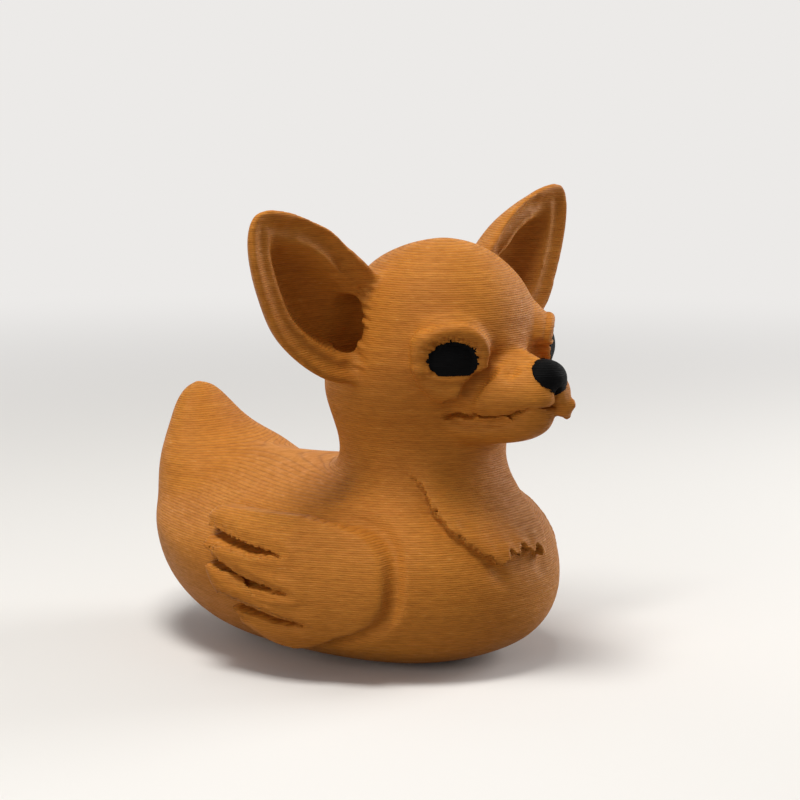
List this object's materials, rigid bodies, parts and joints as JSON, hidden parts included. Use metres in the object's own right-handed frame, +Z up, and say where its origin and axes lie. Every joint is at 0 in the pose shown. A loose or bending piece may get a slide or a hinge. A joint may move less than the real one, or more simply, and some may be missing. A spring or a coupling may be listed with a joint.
{
  "type": "printed duck figurine with a chihuahua's head",
  "caption": "Small desk figure: a duck's body with an upturned tail, folded wings and a flat base, and a chihuahua's head with large cupped ears.",
  "frame": {"origin": "on the flat base, below the middle of the body", "axes": "+X the way the duck faces, +Y its left side, +Z up"},
  "size_m": [0.0702, 0.0642, 0.0631],
  "materials": {
    "tan_filament": "satin caramel-coloured printed plastic with fine level layer lines",
    "black_filament": "satin black printed plastic"
  },
  "bodies": {
    "root": {"duck_body": "tan_filament", "eye_left": "black_filament", "eye_right": "black_filament", "nose_tip": "black_filament"}
  },
  "joints": []
}
